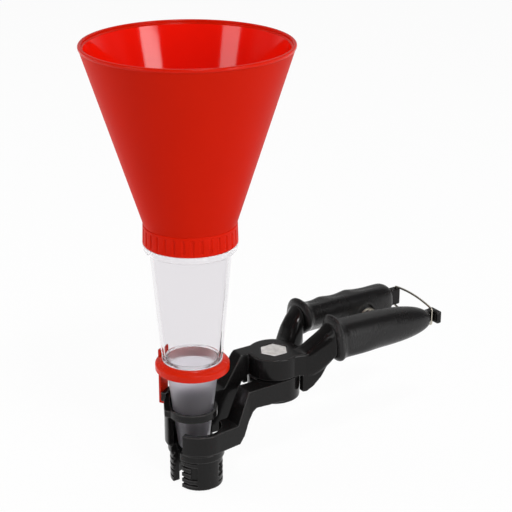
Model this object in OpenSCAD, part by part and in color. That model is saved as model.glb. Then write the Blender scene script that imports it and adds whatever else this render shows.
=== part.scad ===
// Oil-filling funnel on a plier clamp.
// Squeezing the handles draws the two jaws together so that their ribbed tips enter a filler
// neck; letting go lets the spring spread them again, and a wire bail holds the handles closed.
// The origin is on the funnel's axis, on the shoulder of the jaws that meets the neck's rim.
// +Z runs up the funnel, +X to the handles, and the front jaw and near handle are on -Y.

/* [Hopper] */
// Outside width of the mouth
rim_d = 140; // [100:1:220]
// Height of the cone from the collar to the mouth
cone_h = 122; // [70:1:200]
// Wall of the cone
cone_wall = 2.2; // [1.6:0.1:4]
// Width of the bead round the mouth
bead_w = 2.4; // [1:0.1:4]
// Height of the bead round the mouth
bead_h = 2.6; // [1.5:0.1:6]
// Width of the ledge inside the mouth
ledge_w = 1; // [0.4:0.1:2]
// Height of the knurled collar
collar_h = 13.5; // [9:0.5:24]
// Wall of the collar round the spout's neck
collar_wall = 2.9; // [2.4:0.1:6]
// Grip grooves round the collar
groove_count = 32; // [12:1:48]
// Width of one grip groove
groove_w = 2; // [1:0.1:3]
// Depth of one grip groove
groove_deep = 0.9; // [0.4:0.1:1.4]

/* [Spout] */
// Outside radius of the neck inside the collar
neck_r = 29.2; // [24:0.1:36]
// Height of the neck inside the collar
neck_h = 10; // [6:0.5:16]
// Height of the flange under the collar
flange_h = 5; // [3:0.1:10]
// Outside radius at the top of the upper cone
upper_top_r = 27.8; // [24:0.1:34]
// Width of the step between the cones
step_w = 2.1; // [1:0.1:4]
// Length of the upper cone
upper_h = 78.8; // [40:0.1:120]
// Outside radius at the top of the lower cone
lower_top_r = 19; // [16:0.1:22]
// Outside radius of the outlet
outlet_r = 10.9; // [8:0.1:14]
// Chamfer round the outlet
outlet_lip = 0.8; // [0.3:0.1:1.2]
// Height of the step between the cones above the jaws' shoulder
step_z = 66; // [62:1:90]
// How far the outlet reaches below the shoulder
outlet_dip = 1.2; // [0.6:0.1:8]
// Wall of the spout
spout_wall = 2.2; // [1.6:0.1:3.5]

/* [Lock ring] */
// Wall of the ring outside the clip
ring_wall = 1.2; // [1:0.1:4]
// Height of the ring
ring_h = 7.3; // [6:0.1:12]
// Straight part of the ring's outer face
ring_face_h = 4.4; // [2:0.1:5]
// Thickness of the clip's plate
clip_t = 1.7; // [1.2:0.1:2.4]
// Width of the clip's plate
clip_w = 11; // [7:0.5:14]
// Height of the thumb tab above the ring
tab_h = 3.8; // [1:0.1:6]
// Depth of the clip's foot under the catch
foot_deep = 2.2; // [1.2:0.1:2.6]
// Where the clip sits round the ring
clip_angle = 122; // [110:1:132]

/* [Jaws] */
// Outside radius of the jaws' bands
band_r = 19.7; // [19:0.1:24]
// Wall of the bands
band_wall = 4.4; // [3:0.1:5]
// Height of the front band
band_h = 15; // [10:0.5:20]
// Radius of the tips over their ribs
tip_r = 16.3; // [15:0.1:18]
// Wall of the tips under the ribs
tip_wall = 3.7; // [2.4:0.1:4.2]
// Length of the tips below the shoulder
tip_len = 28.5; // [20:0.5:40]
// How much longer the far tip is
far_tip_more = 1.5; // [0:0.1:4]
// Ribs along each tip
rib_count = 5; // [3:1:9]
// Height of the ribs
rib_deep = 1.5; // [0.6:0.1:2]
// Foot of the ring that holds the spout, above the shoulder
holder_z = 23; // [20:0.5:28]
// Height of the ring that holds the spout
holder_h = 6; // [4:0.5:9]
// Wall of the ring that holds the spout
holder_wall = 2.5; // [2:0.1:4]
// Height of the catch under the clip
catch_h = 7; // [4:0.5:12]
// How far each jaw stands out from the funnel's axis with the bail on
jaw_out = 5; // [3:0.1:8]
// How far the jaws' middle lies towards the pivot
jaw_in = 2; // [0:0.1:4]

/* [Pivot] */
// Distance from the funnel's axis to the pivot
pivot_x = 68; // [62:1:90]
// Radius of the pivot discs
disc_r = 19; // [17:0.5:24]
// Underside of the lower disc above the shoulder
lower_z = 20.5; // [18:0.5:26]
// Height of the lower disc
lower_h = 17.5; // [14:0.5:22]
// Height of the upper disc
upper_disc_h = 16.5; // [13:0.5:20]
// Gap between the discs
disc_gap = 0.5; // [0.3:0.1:1]
// Width of the bolt's head and of its nut across flats
hex_af = 18; // [14:1:21]
// Height of the bolt's head
head_h = 7.5; // [5:0.5:9]
// Height of the nut
nut_h = 7; // [5:0.5:8]
// Radius of the bolt's shank
bolt_r = 6; // [4:0.5:7]

/* [Arms] */
// Width of the upper arm
upper_arm_w = 12; // [8:0.5:14]
// Width of the lower arm
lower_arm_w = 13; // [8:0.5:14]
// Flat top of the upper arm between its disc and the fold
upper_fold = 6; // [3:0.5:9]
// Flat top of the lower arm between its disc and the fold
lower_fold = 15; // [10:0.5:18]
// Height of the shelf at the foot of the upper arm above the shoulder
shelf_z = 32.5; // [30:0.5:36]

/* [Handles] */
// Start of the grips beyond the pivot
grip_start = 34; // [31:0.5:44]
// Length of the grips
grip_len = 87.5; // [70:0.5:130]
// Distance from the middle plane to a grip's axis at its front
grip_y = 20.5; // [18:0.5:28]
// How much wider apart the grips' ends are, on each side
grip_spread = 3; // [0:0.5:8]
// Height of the grips' axis above the shoulder
grip_z = 60; // [56:0.5:66]
// Half height of a grip
grip_half_h = 14; // [12:0.1:18]
// Half width of a grip
grip_half_w = 11.5; // [9.5:0.1:13]
// How far the grip's front collar stands out
grip_flange = 3.6; // [1:0.1:6]
// How much the near grip narrows to its tail
near_taper = 0.5; // [0.3:0.05:0.6]
// How much the far grip narrows to its tail
far_taper = 0.15; // [0.05:0.05:0.6]
// Depth of the finger waves on the far grip
wave_deep = 1.9; // [0.5:0.1:2.5]
// Finger waves on the far grip
wave_count = 3; // [2:1:4]
// Height of the tang inside a grip
tang_h = 9; // [6:0.5:11]
// Thickness of the tang inside a grip
tang_t = 6; // [4:0.5:7]
// Height of the post that carries the bail
post_h = 13; // [11:0.5:16]
// Length of the post beyond the grip
post_len = 8.3; // [6:0.1:10]
// Thickness of the hook's lip
lip_t = 4.2; // [2.5:0.1:5]
// Height of the hook's lip
lip_h = 9.6; // [7:0.1:11]
// How far the lip stands out from the hook's neck
lip_out = 5.9; // [3:0.1:9]

/* [Spring and bail] */
// Distance from the pivot to the spring's axis
spring_at = 92; // [70:1:105]
// Outside radius of the spring
spring_r = 6.4; // [5:0.1:7.5]
// Radius of the spring's wire
spring_wire_r = 0.8; // [0.6:0.05:1.1]
// Turns of the spring
spring_turns = 6; // [4:1:9]
// Depth of the spring's pocket in each grip
pocket_deep = 4; // [2.5:0.1:5]
// Radius of the bail's wire
bail_wire_r = 0.8; // [0.6:0.05:1.3]
// How far the middle of the bail's runs stands out
bail_bow = 2.4; // [0:0.1:4]

/* [Hidden] */
$fn = 96;
// Clearances: sliding seat, turning fit, moving neighbours and the sleeve on its tang
seat_gap = 0.2;
turn_gap = 0.08;
move_gap = 0.6;
sleeve_gap = 0.15;
eps = 0.01;

// Heights up the funnel
outlet_z = -outlet_dip;
outlet_room = 4;
upper_top_z = step_z + upper_h;
flange_chamfer = 2.5;
flange_z = upper_top_z + flange_chamfer;
collar_z = flange_z + flange_h + seat_gap;
neck_top_z = collar_z - seat_gap + neck_h;
cone_z = collar_z + collar_h;
rim_z = cone_z + cone_h;
collar_bore_r = neck_r + seat_gap;
collar_r = collar_bore_r + collar_wall;
rim_r = rim_d / 2;
seat_r = neck_r - spout_wall;

// The lower cone's outside radius at any height
function lower_r(z) = outlet_r + (lower_top_r - outlet_r) * (z - outlet_z) / (step_z - outlet_z);

// Ring that holds the spout
holder_top_z = holder_z + holder_h;
holder_gap = 0.3;
holder_r = lower_r(holder_top_z) + holder_gap + holder_wall;
wall_top_z = holder_top_z - 2;

// Lock ring and clip, from the spout's step outwards
upper_foot_r = lower_top_r + step_w;
ring_top_z = step_z - seat_gap;
ring_z = ring_top_z - ring_h;
ring_bore_r = lower_top_r + seat_gap;
ring_shoulder_r = upper_foot_r + 0.7;
tab_gap = 1.3;
catch_gap = 0.3;
clip_in_r = upper_foot_r + tab_gap;
clip_mid_r = clip_in_r + clip_t / 2;
clip_slot = clip_t / 2 + move_gap;
ring_r = clip_mid_r + clip_slot + ring_wall;
catch_out_r = clip_in_r - catch_gap;
catch_wall_r = catch_out_r - 1.5;
clip_axle_r = 1.3;
clip_axle_z = ring_z + ring_h / 2;
clip_axle_len = clip_w + 2.5;
catch_z = shelf_z - 2;
catch_top_z = catch_z + catch_h;
foot_t = 1.6;
foot_top_z = catch_z - catch_gap;
foot_z = foot_top_z - foot_t;
rise_edge = clip_w / 2 - 4;
catch_edge = clip_w / 2 + 1;

// Jaws
band_in_r = band_r - band_wall;
tip_base_r = tip_r - rib_deep;
tip_in_r = tip_base_r - tip_wall;
tip_neck_h = 1.2;
tip_flange_h = 6.5;
tip_flange_r = (tip_r + band_r) / 2 - 0.4;
far_cut = -0.2;
near_cut = 1.8;
band_turn = 27;

// Pivot
lower_top_z = lower_z + lower_h;
upper_z = lower_top_z + disc_gap;
upper_top_disc_z = upper_z + upper_disc_h;
hex_r = hex_af / 2 / cos(30);
hex_gap = 0.25;
head_z = upper_top_disc_z - head_h - 0.3;
nut_well_h = nut_h + 0.6;
nut_well_r = hex_r + 0.7;
bore_r = bolt_r + turn_gap;

// Arms
upper_arm_y = disc_r - 3 - upper_arm_w;
upper_fold_x = pivot_x - disc_r - upper_fold;
lower_fold_x = pivot_x - disc_r - lower_fold;
shelf_x = band_r + 9;
upper_heel_x = pivot_x - disc_r - 5;
lower_heel_x = pivot_x - disc_r - 8;
band_heel_x = band_r + 10;

// Handles
grip_x = pivot_x + grip_start;
grip_end_x = grip_x + grip_len;
tang_z = grip_z - tang_h / 2;
root_x = pivot_x + 12.5;
root_end_x = grip_x - sleeve_gap;
root_in_y = disc_r - 11;
far_front_x = pivot_x + disc_r - 3.5;
grip_front = 5.5;
grip_sides = 28;

// Spring, pockets and bail
spring_x = pivot_x + spring_at;
spring_share = (spring_x - grip_x) / grip_len;
spring_grip_y = grip_y + grip_spread * spring_share;
grip_face_y = spring_grip_y - grip_half_w;
pocket_floor_y = grip_face_y + pocket_deep;
pocket_r = spring_r + 1.6;
spring_half = pocket_floor_y;
spring_z = grip_z - 4;
post_x = grip_end_x + 0.4;
post_y = grip_y + grip_spread - 2;
bail_x = post_x + post_len * 0.65;
bail_bar_x = grip_end_x + bail_wire_r + 3.2;
neck_out_y = grip_y + grip_spread + 0.4;
bail_bar_y = neck_out_y + bail_wire_r + 0.3;
bail_top_z = grip_z + post_h / 2 + bail_wire_r + 0.3;
bail_foot_z = grip_z - post_h / 2 - bail_wire_r - 0.3;
bail_stub = 4;
lip_x = bail_bar_x + bail_wire_r + 0.8;
hook_z = grip_z - 0.4;
bail_bar_half = lip_h / 2 + bail_wire_r + 0.5;

// A ring of revolution between two radii
module tube(r_out, r_in, h) {
    difference() {
        cylinder(r = r_out, h = h);
        translate([0, 0, -1]) cylinder(r = r_in, h = h + 2);
    }
}

// A side outline in X and Z, carried across from y0 to y1
module side_slab(points, y0, y1) {
    translate([0, y1, 0]) rotate([90, 0, 0]) linear_extrude(height = y1 - y0) polygon(points);
}

// The half space on one side of the middle plane, from a cut outwards
module half_space(cut, front) {
    size = 4 * band_r;
    translate([-size, front ? -2 * size - cut : cut, -2 * size]) cube([2 * size, 2 * size, 6 * size]);
}

// A wedge of the plane between two angles, as a tall prism
module wedge(a0, a1, r, z, h) {
    steps = 6;
    points = concat([[0, 0]], [for (i = [0 : steps]) let (a = a0 + (a1 - a0) * i / steps)
        [r * cos(a), r * sin(a)]]);
    translate([0, 0, z]) linear_extrude(height = h) polygon(points);
}

// A jaw's own frame: its axis stands out from the funnel's
module at_jaw(front) {
    translate([jaw_in, front ? -jaw_out : jaw_out, 0]) children();
}

// Room for the spout's lower cone inside the levers
module spout_room() {
    foot_z = outlet_z - outlet_room;
    translate([0, 0, foot_z]) cylinder(r1 = outlet_r + move_gap, r2 = lower_r(ring_z) + move_gap,
        h = ring_z - foot_z);
}

// An arm: its side outline, kept inside its outline from above
module arm(side, plan) {
    intersection() {
        side_slab(side, -3 * disc_r, 3 * disc_r);
        translate([0, 0, -1]) linear_extrude(height = rim_z) polygon(plan);
    }
}

// Ribbed half tip: a smooth belt in the middle, ribs at both ends of its arc and a pocket beside
// the belt where the middle ribs stop short
module tip(front) {
    middle = front ? 263 : 90;
    length = tip_len + (front ? 0 : far_tip_more);
    pitch = (length - tip_flange_h) / rib_count;
    first = floor(rib_count * 0.4);
    belt = 30;
    pocket = 48;
    translate([0, 0, -length]) intersection() {
        difference() {
            union() {
                tube(tip_base_r, tip_in_r, length);
                for (i = [0 : rib_count - 1])
                    translate([0, 0, i * pitch]) tube(tip_r, tip_in_r, pitch * 0.68);
                translate([0, 0, length - tip_flange_h])
                    tube(tip_flange_r, tip_in_r, tip_flange_h - tip_neck_h);
                translate([0, 0, length - tip_neck_h - eps]) tube(tip_r, tip_in_r, tip_neck_h + 2 * eps);
                intersection() {
                    tube(tip_r, tip_in_r, length);
                    wedge(middle - belt, middle + belt, 2 * band_r, -1, length + 2);
                }
            }
            for (side = [-1, 1]) difference() {
                wedge(middle + side * belt, middle + side * pocket, 2 * band_r, (first - 0.3) * pitch,
                    2.3 * pitch);
                cylinder(r = tip_base_r, h = length);
            }
        }
        half_space(front ? near_cut : far_cut, front);
    }
}

// Web of a handle's root, from its disc to the grip, seen from the side: the foot, then the given top
function root_side(disc_z, top) = concat([
    [pivot_x, disc_z], [root_x, disc_z], [root_x, grip_z - 34.5], [root_x + 3, grip_z - 34.5],
    [root_x + 8, grip_z - 31], [grip_x - 7.5, grip_z - 24], [grip_x - 3.5, grip_z - 16.5],
    [root_end_x, grip_z - 13]], top);
near_root_top = [
    [root_end_x, grip_z + 1], [grip_x - 5, grip_z - 2], [grip_x - 11, grip_z - 5],
    [grip_x - 16.8, upper_top_disc_z], [pivot_x, upper_top_disc_z]];
far_root_top = [
    [root_end_x, grip_z + 1], [grip_x - 5, grip_z - 2], [grip_x - 9, grip_z - 5],
    [far_front_x, lower_top_z], [pivot_x, lower_top_z]];

// Web of a handle's root from above, on +Y, with the width at its front
function root_plan(out_y) = [
    [pivot_x, 2], [pivot_x + disc_r * 0.75, 6], [root_x + 8, root_in_y - 1], [root_end_x, root_in_y + 3],
    [root_end_x, grip_y + 5.5], [grip_x - 6, max(out_y, grip_y + 3)], [root_x, out_y],
    [pivot_x + 6, disc_r - 1], [pivot_x, disc_r - 3]];
near_root_y = disc_r + 0.5;
far_root_y = disc_r + 4;

// Rounded body of a root on +Y. Each row has the share of the way to the grip, the foot below the
// grip's axis in half heights, the share of the rise to the grip's top, the inner and outer side
// from the grip's axis in half widths, and how boxy the section is.
near_root_rows = [
    [0, -1.43, -0.02, -1.52, -0.44, 8], [0.25, -1.71, 0.03, -1.39, 0.04, 6],
    [0.42, -1.71, 0.17, -1.3, 0.18, 5],
    [0.59, -1.57, 0.35, -1.22, 0.32, 4.2], [0.755, -1.36, 0.53, -1.12, 0.5, 3.6],
    [0.9, -1.11, 0.72, -1.02, 0.69, 3.1]];
far_root_rows = [
    [0.04, -2.6, 0.06, -1.5, -0.04, 6], [0.23, -2.4, 0.15, -1.4, 0.35, 4.5],
    [0.36, -2.36, 0.42, -1.26, 0.46, 3.6],
    [0.5, -2.07, 0.67, -1.26, 0.51, 3.2], [0.69, -1.71, 0.84, -1.22, 0.6, 3],
    [0.86, -1.25, 0.93, -1.13, 0.74, 2.8]];
root_start_x = pivot_x + disc_r * 0.53;

// One section of a root that rises from a disc's top to the grip's top
function root_section(row, disc_top, grip_top) = let (x = root_start_x + (root_end_x - root_start_x) * row[0],
    foot = grip_z + row[1] * grip_half_h, top = disc_top + (grip_top - disc_top) * row[2],
    y0 = grip_y + row[3] * grip_half_w, y1 = grip_y + row[4] * grip_half_w)
    [for (j = [0 : grip_sides - 1]) let (a = 360 * (j + 0.5) / grip_sides)
        [x, (y0 + y1) / 2 + (y1 - y0) / 2 * round_power(cos(a), row[5]),
            (foot + top) / 2 + (top - foot) / 2 * round_power(sin(a), row[5])]];

// A root's rounded body, which flares out to the grip's front
module root_body(rows, disc_top, taper, lip) {
    grip_top = axis_height(0, lip) + half_height(0, taper, lip);
    middle = [root_end_x, grip_y, axis_height(0, lip)];
    front = [for (p = grip_ring(0, 0, taper, lip)) middle + 0.985 * [0, p[1] - middle[1], p[2] - middle[2]]];
    ring_loft(concat([for (row = rows) root_section(row, disc_top, grip_top)], [front]));
}

// Tang inside a grip, on +Y, with room all round
module tang(room, x0, x1) {
    slope = grip_spread / grip_len;
    y0 = grip_y + (x0 - grip_x) * slope;
    y1 = grip_y + (x1 - grip_x) * slope;
    t = tang_t / 2 + room;
    translate([0, 0, tang_z - room]) linear_extrude(height = tang_h + 2 * room)
        polygon([[x0, y0 - t], [x1, y1 - t], [x1, y1 + t], [x0, y0 + t]]);
}

// Half height, half width and axis height of a grip at a distance from its front
function swell(d) = grip_flange * exp(-pow((d - grip_front / 2) / 3.2, 2));
// How far a collar stands out at the top, outside and inside
near_lip = [1, 0.8, 0];
far_lip = [0.6, 1.3, 1.2];
function fade(d, taper) = let (s = d / grip_len)
    1 - taper * pow(s, 5) - 0.1 * pow(s, 24) - (0.5 - taper) / 2 * pow(s, 40);
function front_round(d) = d < 2.4 ? -2.4 * pow(1 - d / 2.4, 2) : 0;
function half_height(d, taper, lip) = grip_half_h * fade(d, taper) + lip[0] * swell(d) + front_round(d);
function half_width(d, taper, stand) = grip_half_w * (1 - (1 - fade(d, taper)) * 0.85) + stand * swell(d)
    + front_round(d);
function axis_height(d, lip) = grip_z + 0.8 + lip[0] * swell(d) * 0.6 - 1.6 * pow(d / grip_len, 2);

// Finger waves: hollows between crests that lie further apart to the tail
function wave_share(d) = let (u = min(1, max(0, (d - 5) / (grip_len - 11.5)))) u * (1.4 - 0.4 * u);
function finger_wave(d, deep) = -deep * abs(sin(180 * wave_count * wave_share(d)));
function round_power(v, n) = (v < 0 ? -1 : 1) * pow(abs(v), 2 / n);

// Near the front the grip's foot leans outwards and its inner lower side is cut back
function lean(d) = let (t = min(1, max(0, (0.5 * grip_len - d) / (0.27 * grip_len)))) t * t * (3 - 2 * t);

// One ring of a grip, on +Y: round outside, flat and boxy inside
function grip_ring(d, deep, taper, lip) = let (w = half_width(d, taper, lip[1]),
    inside = min(half_width(d, taper, lip[2]), grip_half_w + lip[2] * swell(d)),
    top = half_height(d, taper, lip), foot = half_height(d, near_taper, lip) * (1 - 0.11 * lean(d)),
    y = grip_y + grip_spread * d / grip_len)
    [for (j = [0 : grip_sides - 1]) let (a = 360 * (j + 0.5) / grip_sides,
        n = cos(a) > 0 ? 2.3 : sin(a) > 0 ? 2.8 : 4 - 2.5 * lean(d), dip = finger_wave(d, deep),
        out = cos(a) > 0 ? w + dip : inside, up = cos(a) > -0.3 ? top + dip * 0.6 : top,
        rise = (sin(a) > 0 ? up : foot) * round_power(sin(a), n))
        [grip_x + d, y + out * round_power(cos(a), n) + 0.35 * lean(d) * max(0, -rise),
            axis_height(d, lip) + rise]];

// A closed body through rings of equally many points that follow each other along +X
module ring_loft(rings) {
    sides = len(rings[0]);
    last = len(rings) - 1;
    walls = [for (i = [0 : last - 1], j = [0 : sides - 1]) let (k = (j + 1) % sides)
        each [[i * sides + j, (i + 1) * sides + j, (i + 1) * sides + k],
            [i * sides + j, (i + 1) * sides + k, i * sides + k]]];
    front_cap = [for (j = [1 : sides - 2]) [0, j, j + 1]];
    back_cap = [for (j = [1 : sides - 2]) let (b = last * sides) [b, b + j + 1, b + j]];
    polyhedron(points = [for (ring = rings) each ring], faces = concat(walls, front_cap, back_cap),
        convexity = 4);
}

// A grip's body on +Y, lofted through rings along its length
module grip_body(deep, taper, lip) {
    spots = [0, 0.5, 1.2, 2.2, 3.2, 4.4, 5.8, 7.4, 9.2, 11.5];
    tail = [for (i = [1 : 22]) 11.5 + (grip_len - 11.5) * pow(i / 22, 0.92)];
    ring_loft([for (d = concat(spots, tail)) grip_ring(d, deep, taper, lip)]);
}

// A grip on +Y with the hole for its tang and the spring's pocket
module grip(deep, taper, lip) {
    difference() {
        grip_body(deep, taper, lip);
        tang(sleeve_gap, grip_x - 2, grip_end_x + 2);
        translate([spring_x, pocket_floor_y, spring_z]) rotate([90, 0, 0])
            cylinder(r = pocket_r, h = 2 * grip_half_w, $fn = 48);
    }
}

module hopper() {
    color("firebrick") difference() {
        union() {
            rotate_extrude() polygon([
                [collar_bore_r, collar_z], [collar_r - 0.5, collar_z], [collar_r, collar_z + 0.5],
                [collar_r - 0.4, cone_z - 0.5], [collar_r - 0.9, cone_z],
                [rim_r - bead_w * 0.27, rim_z - bead_h], [rim_r, rim_z - bead_h * 0.75],
                [rim_r, rim_z - bead_h * 0.25], [rim_r - bead_w * 0.25, rim_z],
                [rim_r - bead_w * 0.75, rim_z], [rim_r - bead_w, rim_z - bead_h * 0.25],
                [rim_r - bead_w, rim_z - bead_h * 0.8], [rim_r - bead_w - ledge_w, rim_z - bead_h * 0.9],
                [collar_r - 0.9 - cone_wall, cone_z + 1], [seat_r, cone_z - 0.5],
                [seat_r, neck_top_z + seat_gap], [collar_bore_r, neck_top_z + seat_gap]]);
        }
        for (i = [0 : groove_count - 1])
            rotate([0, 0, 360 * (i + 0.5) / groove_count])
            translate([collar_r + groove_w / 2 - groove_deep, 0, collar_z - 1]) {
                cylinder(d = groove_w, h = collar_h - 1.5, $fn = 16);
                translate([0, 0, collar_h - 1.5]) sphere(d = groove_w, $fn = 16);
            }
    }
}

module spout() {
    low_in = spout_wall * 0.8;
    color("aliceblue") rotate_extrude() polygon([
        [outlet_r - low_in, outlet_z], [outlet_r - outlet_lip, outlet_z],
        [outlet_r, outlet_z + 1.5 * outlet_lip], [lower_top_r, step_z - eps],
        [lower_top_r, step_z], [upper_foot_r, step_z], [upper_top_r, upper_top_z],
        [collar_r - 1.8, flange_z], [collar_r - 0.7, flange_z + 0.7], [collar_r - 0.1, flange_z + 2],
        [collar_r - 0.1, flange_z + flange_h],
        [neck_r, flange_z + flange_h], [neck_r, neck_top_z], [neck_r - spout_wall, neck_top_z],
        [neck_r - spout_wall, flange_z], [upper_top_r - spout_wall, upper_top_z - 2],
        [upper_foot_r - spout_wall, step_z + spout_wall], [lower_top_r - low_in, step_z + spout_wall * 0.6],
        [lower_top_r - low_in, step_z - 1]]);
}

// The clip's own frame: X runs outwards through it
module at_clip() {
    rotate([0, 0, clip_angle]) children();
}

module lock_ring() {
    color("orangered") difference() {
        rotate_extrude() polygon([
            [ring_bore_r, ring_z], [ring_r - 0.5, ring_z], [ring_r, ring_z + 0.5],
            [ring_r, ring_z + ring_face_h], [ring_r - 0.7, ring_z + ring_face_h + 0.9],
            [ring_shoulder_r + 0.6, ring_top_z - 0.7], [ring_shoulder_r, ring_top_z],
            [ring_bore_r, ring_top_z]]);
        at_clip() {
            translate([clip_mid_r - clip_slot, -clip_w / 2 - seat_gap, ring_z - 1])
                cube([2 * clip_slot, clip_w + 2 * seat_gap, ring_h + 2]);
            translate([clip_mid_r, clip_axle_len / 2 + seat_gap, clip_axle_z]) rotate([90, 0, 0])
                cylinder(r = clip_axle_r + turn_gap, h = clip_axle_len + 2 * seat_gap, $fn = 32);
        }
    }
}

module lock_clip() {
    color("red") at_clip() {
        translate([clip_in_r, -clip_w / 2, foot_z]) cube([clip_t, clip_w, ring_top_z + tab_h - foot_z]);
        translate([clip_in_r - foot_deep, -clip_w / 2, foot_z]) cube([foot_deep + eps, clip_w, foot_t]);
        translate([clip_mid_r, clip_axle_len / 2, clip_axle_z]) rotate([90, 0, 0])
            cylinder(r = clip_axle_r, h = clip_axle_len, $fn = 32);
    }
}

// Upper arm seen from the side and from above
upper_stop_x = pivot_x - disc_r - move_gap;
upper_arm_side = [
    [pivot_x, upper_top_disc_z], [upper_fold_x, upper_top_disc_z], [shelf_x, shelf_z], [0, shelf_z],
    [0, 0], [shelf_x - 2, 0], [shelf_x + 2.5, 8], [shelf_x + 10.3, upper_z - 14.5],
    [upper_fold_x - 0.6, upper_z - 6.5],
    [upper_heel_x, upper_z - 2.5], [upper_heel_x + 0.8, upper_z - 6], [upper_stop_x, upper_z - 6],
    [upper_stop_x, upper_z], [pivot_x, upper_z]];
upper_arm_plan = [
    [pivot_x, upper_arm_y], [0, upper_arm_y], [0, jaw_out + band_r - 0.2],
    [jaw_in + 2, jaw_out + band_r - 0.2],
    [shelf_x - 2, upper_arm_y + upper_arm_w + 2], [shelf_x + 6, upper_arm_y + upper_arm_w],
    [pivot_x, upper_arm_y + upper_arm_w]];

// Lower arm seen from the side and from above
lower_arm_side = [
    [pivot_x, lower_top_z], [lower_fold_x, lower_top_z], [band_heel_x - 5.5, band_h], [0, band_h], [0, 0],
    [band_heel_x - 3.6, 0], [band_heel_x + 0.6, 5.2], [lower_heel_x - 6.6, lower_z - 5],
    [lower_heel_x - 3.2, lower_z + 1.2], [lower_heel_x, lower_z + 3.2], [pivot_x, lower_z + 1.6]];
lower_arm_plan = [
    [pivot_x, -disc_r], [lower_fold_x, -disc_r - 0.9], [band_heel_x - 4.5, -disc_r - 2.4],
    [jaw_in + 2, -jaw_out - band_r + 0.2], [0, -jaw_out - band_r + 0.2], [0, -disc_r + lower_arm_w],
    [pivot_x, -disc_r + lower_arm_w]];

// Catch for the clip, on a rise of the back wall
module clip_catch() {
    rise_in_r = lower_r(catch_top_z) + move_gap;
    rise_h = catch_top_z - wall_top_z + 4;
    slope = catch_wall_r * tan(34);
    intersection() {
        translate([0, 0, wall_top_z - 4]) tube(catch_wall_r, rise_in_r, rise_h);
        at_clip() translate([0, 0, wall_top_z - 4]) rotate([90, 0, 90])
            linear_extrude(height = 2 * catch_wall_r) polygon([[-clip_w / 2 + 0.5, 0], [slope, 0], [slope, 5],
                [rise_edge, rise_h], [-clip_w / 2 + 0.5, rise_h]]);
    }
    at_clip() translate([catch_wall_r - 2.5, -clip_w / 2 + 0.5, catch_z])
        cube([catch_out_r - catch_wall_r + 2.5, catch_edge + clip_w / 2 - 0.5, catch_h]);
}

module near_lever() {
    color("dimgray") difference() {
        union() {
            translate([pivot_x, 0, upper_z]) cylinder(r = disc_r, h = upper_disc_h);
            difference() {
                union() {
                    arm(upper_arm_side, upper_arm_plan);
                    at_jaw(false) intersection() {
                        cylinder(r = band_r, h = wall_top_z);
                        half_space(far_cut, false);
                    }
                }
                at_jaw(false) translate([0, 0, -1]) cylinder(r = band_in_r, h = wall_top_z + 1);
                translate([0, 0, wall_top_z - eps]) cylinder(r = holder_r, h = shelf_z);
            }
            translate([0, 0, holder_z]) cylinder(r = holder_r, h = holder_h);
            clip_catch();
            at_jaw(false) tip(false);
            mirror([0, 1, 0]) {
                difference() {
                    union() {
                        intersection() {
                            side_slab(root_side(upper_z, near_root_top), 0, 60);
                            linear_extrude(height = 200) polygon(root_plan(near_root_y));
                        }
                        root_body(near_root_rows, upper_top_disc_z, near_taper, near_lip);
                    }
                    translate([pivot_x, 0, lower_z - 40])
                        cylinder(r = disc_r + move_gap, h = upper_z - lower_z + 40);
                }
                tang(0, grip_x - 3, grip_end_x + 1);
                translate([grip_end_x + 0.2, neck_out_y - tang_t + 0.5, hook_z - lip_h / 2 + 0.5])
                    cube([lip_x + lip_t - grip_end_x - 0.2, tang_t - 0.5, lip_h - 1]);
                translate([lip_x, neck_out_y - tang_t + 0.5, hook_z - lip_h / 2])
                    cube([lip_t, tang_t - 0.5 + lip_out, lip_h]);
            }
        }
        difference() {
            spout_room();
            translate([0, 0, holder_z]) cylinder(r = holder_r, h = holder_h);
        }
        translate([0, 0, holder_z - 1]) cylinder(r1 = lower_r(holder_z - 1) + holder_gap,
            r2 = lower_r(holder_top_z + 1) + holder_gap, h = holder_h + 2);
        at_clip() translate([clip_in_r - foot_deep - move_gap, -clip_w / 2 - move_gap, foot_z - move_gap])
            cube([foot_deep + 3 * clip_t, clip_w + 2 * move_gap, catch_z - foot_z + move_gap]);
        translate([pivot_x, 0, upper_z - 1]) cylinder(r = bore_r, h = upper_disc_h + 2);
        translate([pivot_x, 0, head_z]) cylinder(r = hex_r + hex_gap, h = head_h + 2, $fn = 6);
    }
}

module far_lever() {
    color("gray") difference() {
        union() {
            translate([pivot_x, 0, lower_z]) cylinder(r = disc_r, h = lower_h);
            difference() {
                union() {
                    arm(lower_arm_side, lower_arm_plan);
                    at_jaw(true) intersection() {
                        cylinder(r = band_r, h = band_h);
                        half_space(near_cut, true);
                        rotate([0, 0, band_turn]) half_space(-0.107 * band_r, true);
                    }
                }
                at_jaw(true) translate([0, 0, -1]) cylinder(r = band_in_r, h = band_h + 30);
            }
            at_jaw(true) tip(true);
            difference() {
                union() {
                    intersection() {
                        side_slab(root_side(lower_z, far_root_top), 0, 60);
                        linear_extrude(height = 200) polygon(root_plan(far_root_y));
                    }
                    root_body(far_root_rows, lower_top_z, far_taper, far_lip);
                }
                translate([pivot_x, 0, upper_z - disc_gap]) cylinder(r = disc_r + move_gap, h = 100);
            }
            tang(0, grip_x - 3, grip_end_x + 1);
            translate([post_x, post_y - tang_t / 2, grip_z - post_h / 2]) cube([post_len, tang_t, post_h]);
        }
        translate([pivot_x, 0, lower_z - 1]) cylinder(r = bore_r, h = lower_h + 2);
        translate([pivot_x, 0, lower_z - 1]) cylinder(r = nut_well_r, h = nut_well_h + 1);
        translate([bail_x, post_y, grip_z - post_h])
            cylinder(r = bail_wire_r + turn_gap, h = 2 * post_h, $fn = 32);
        spout_room();
    }
}

module near_grip() {
    color("black") mirror([0, 1, 0]) grip(0, near_taper, near_lip);
}

module far_grip() {
    color("black") grip(wave_deep, far_taper, far_lip);
}

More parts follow.
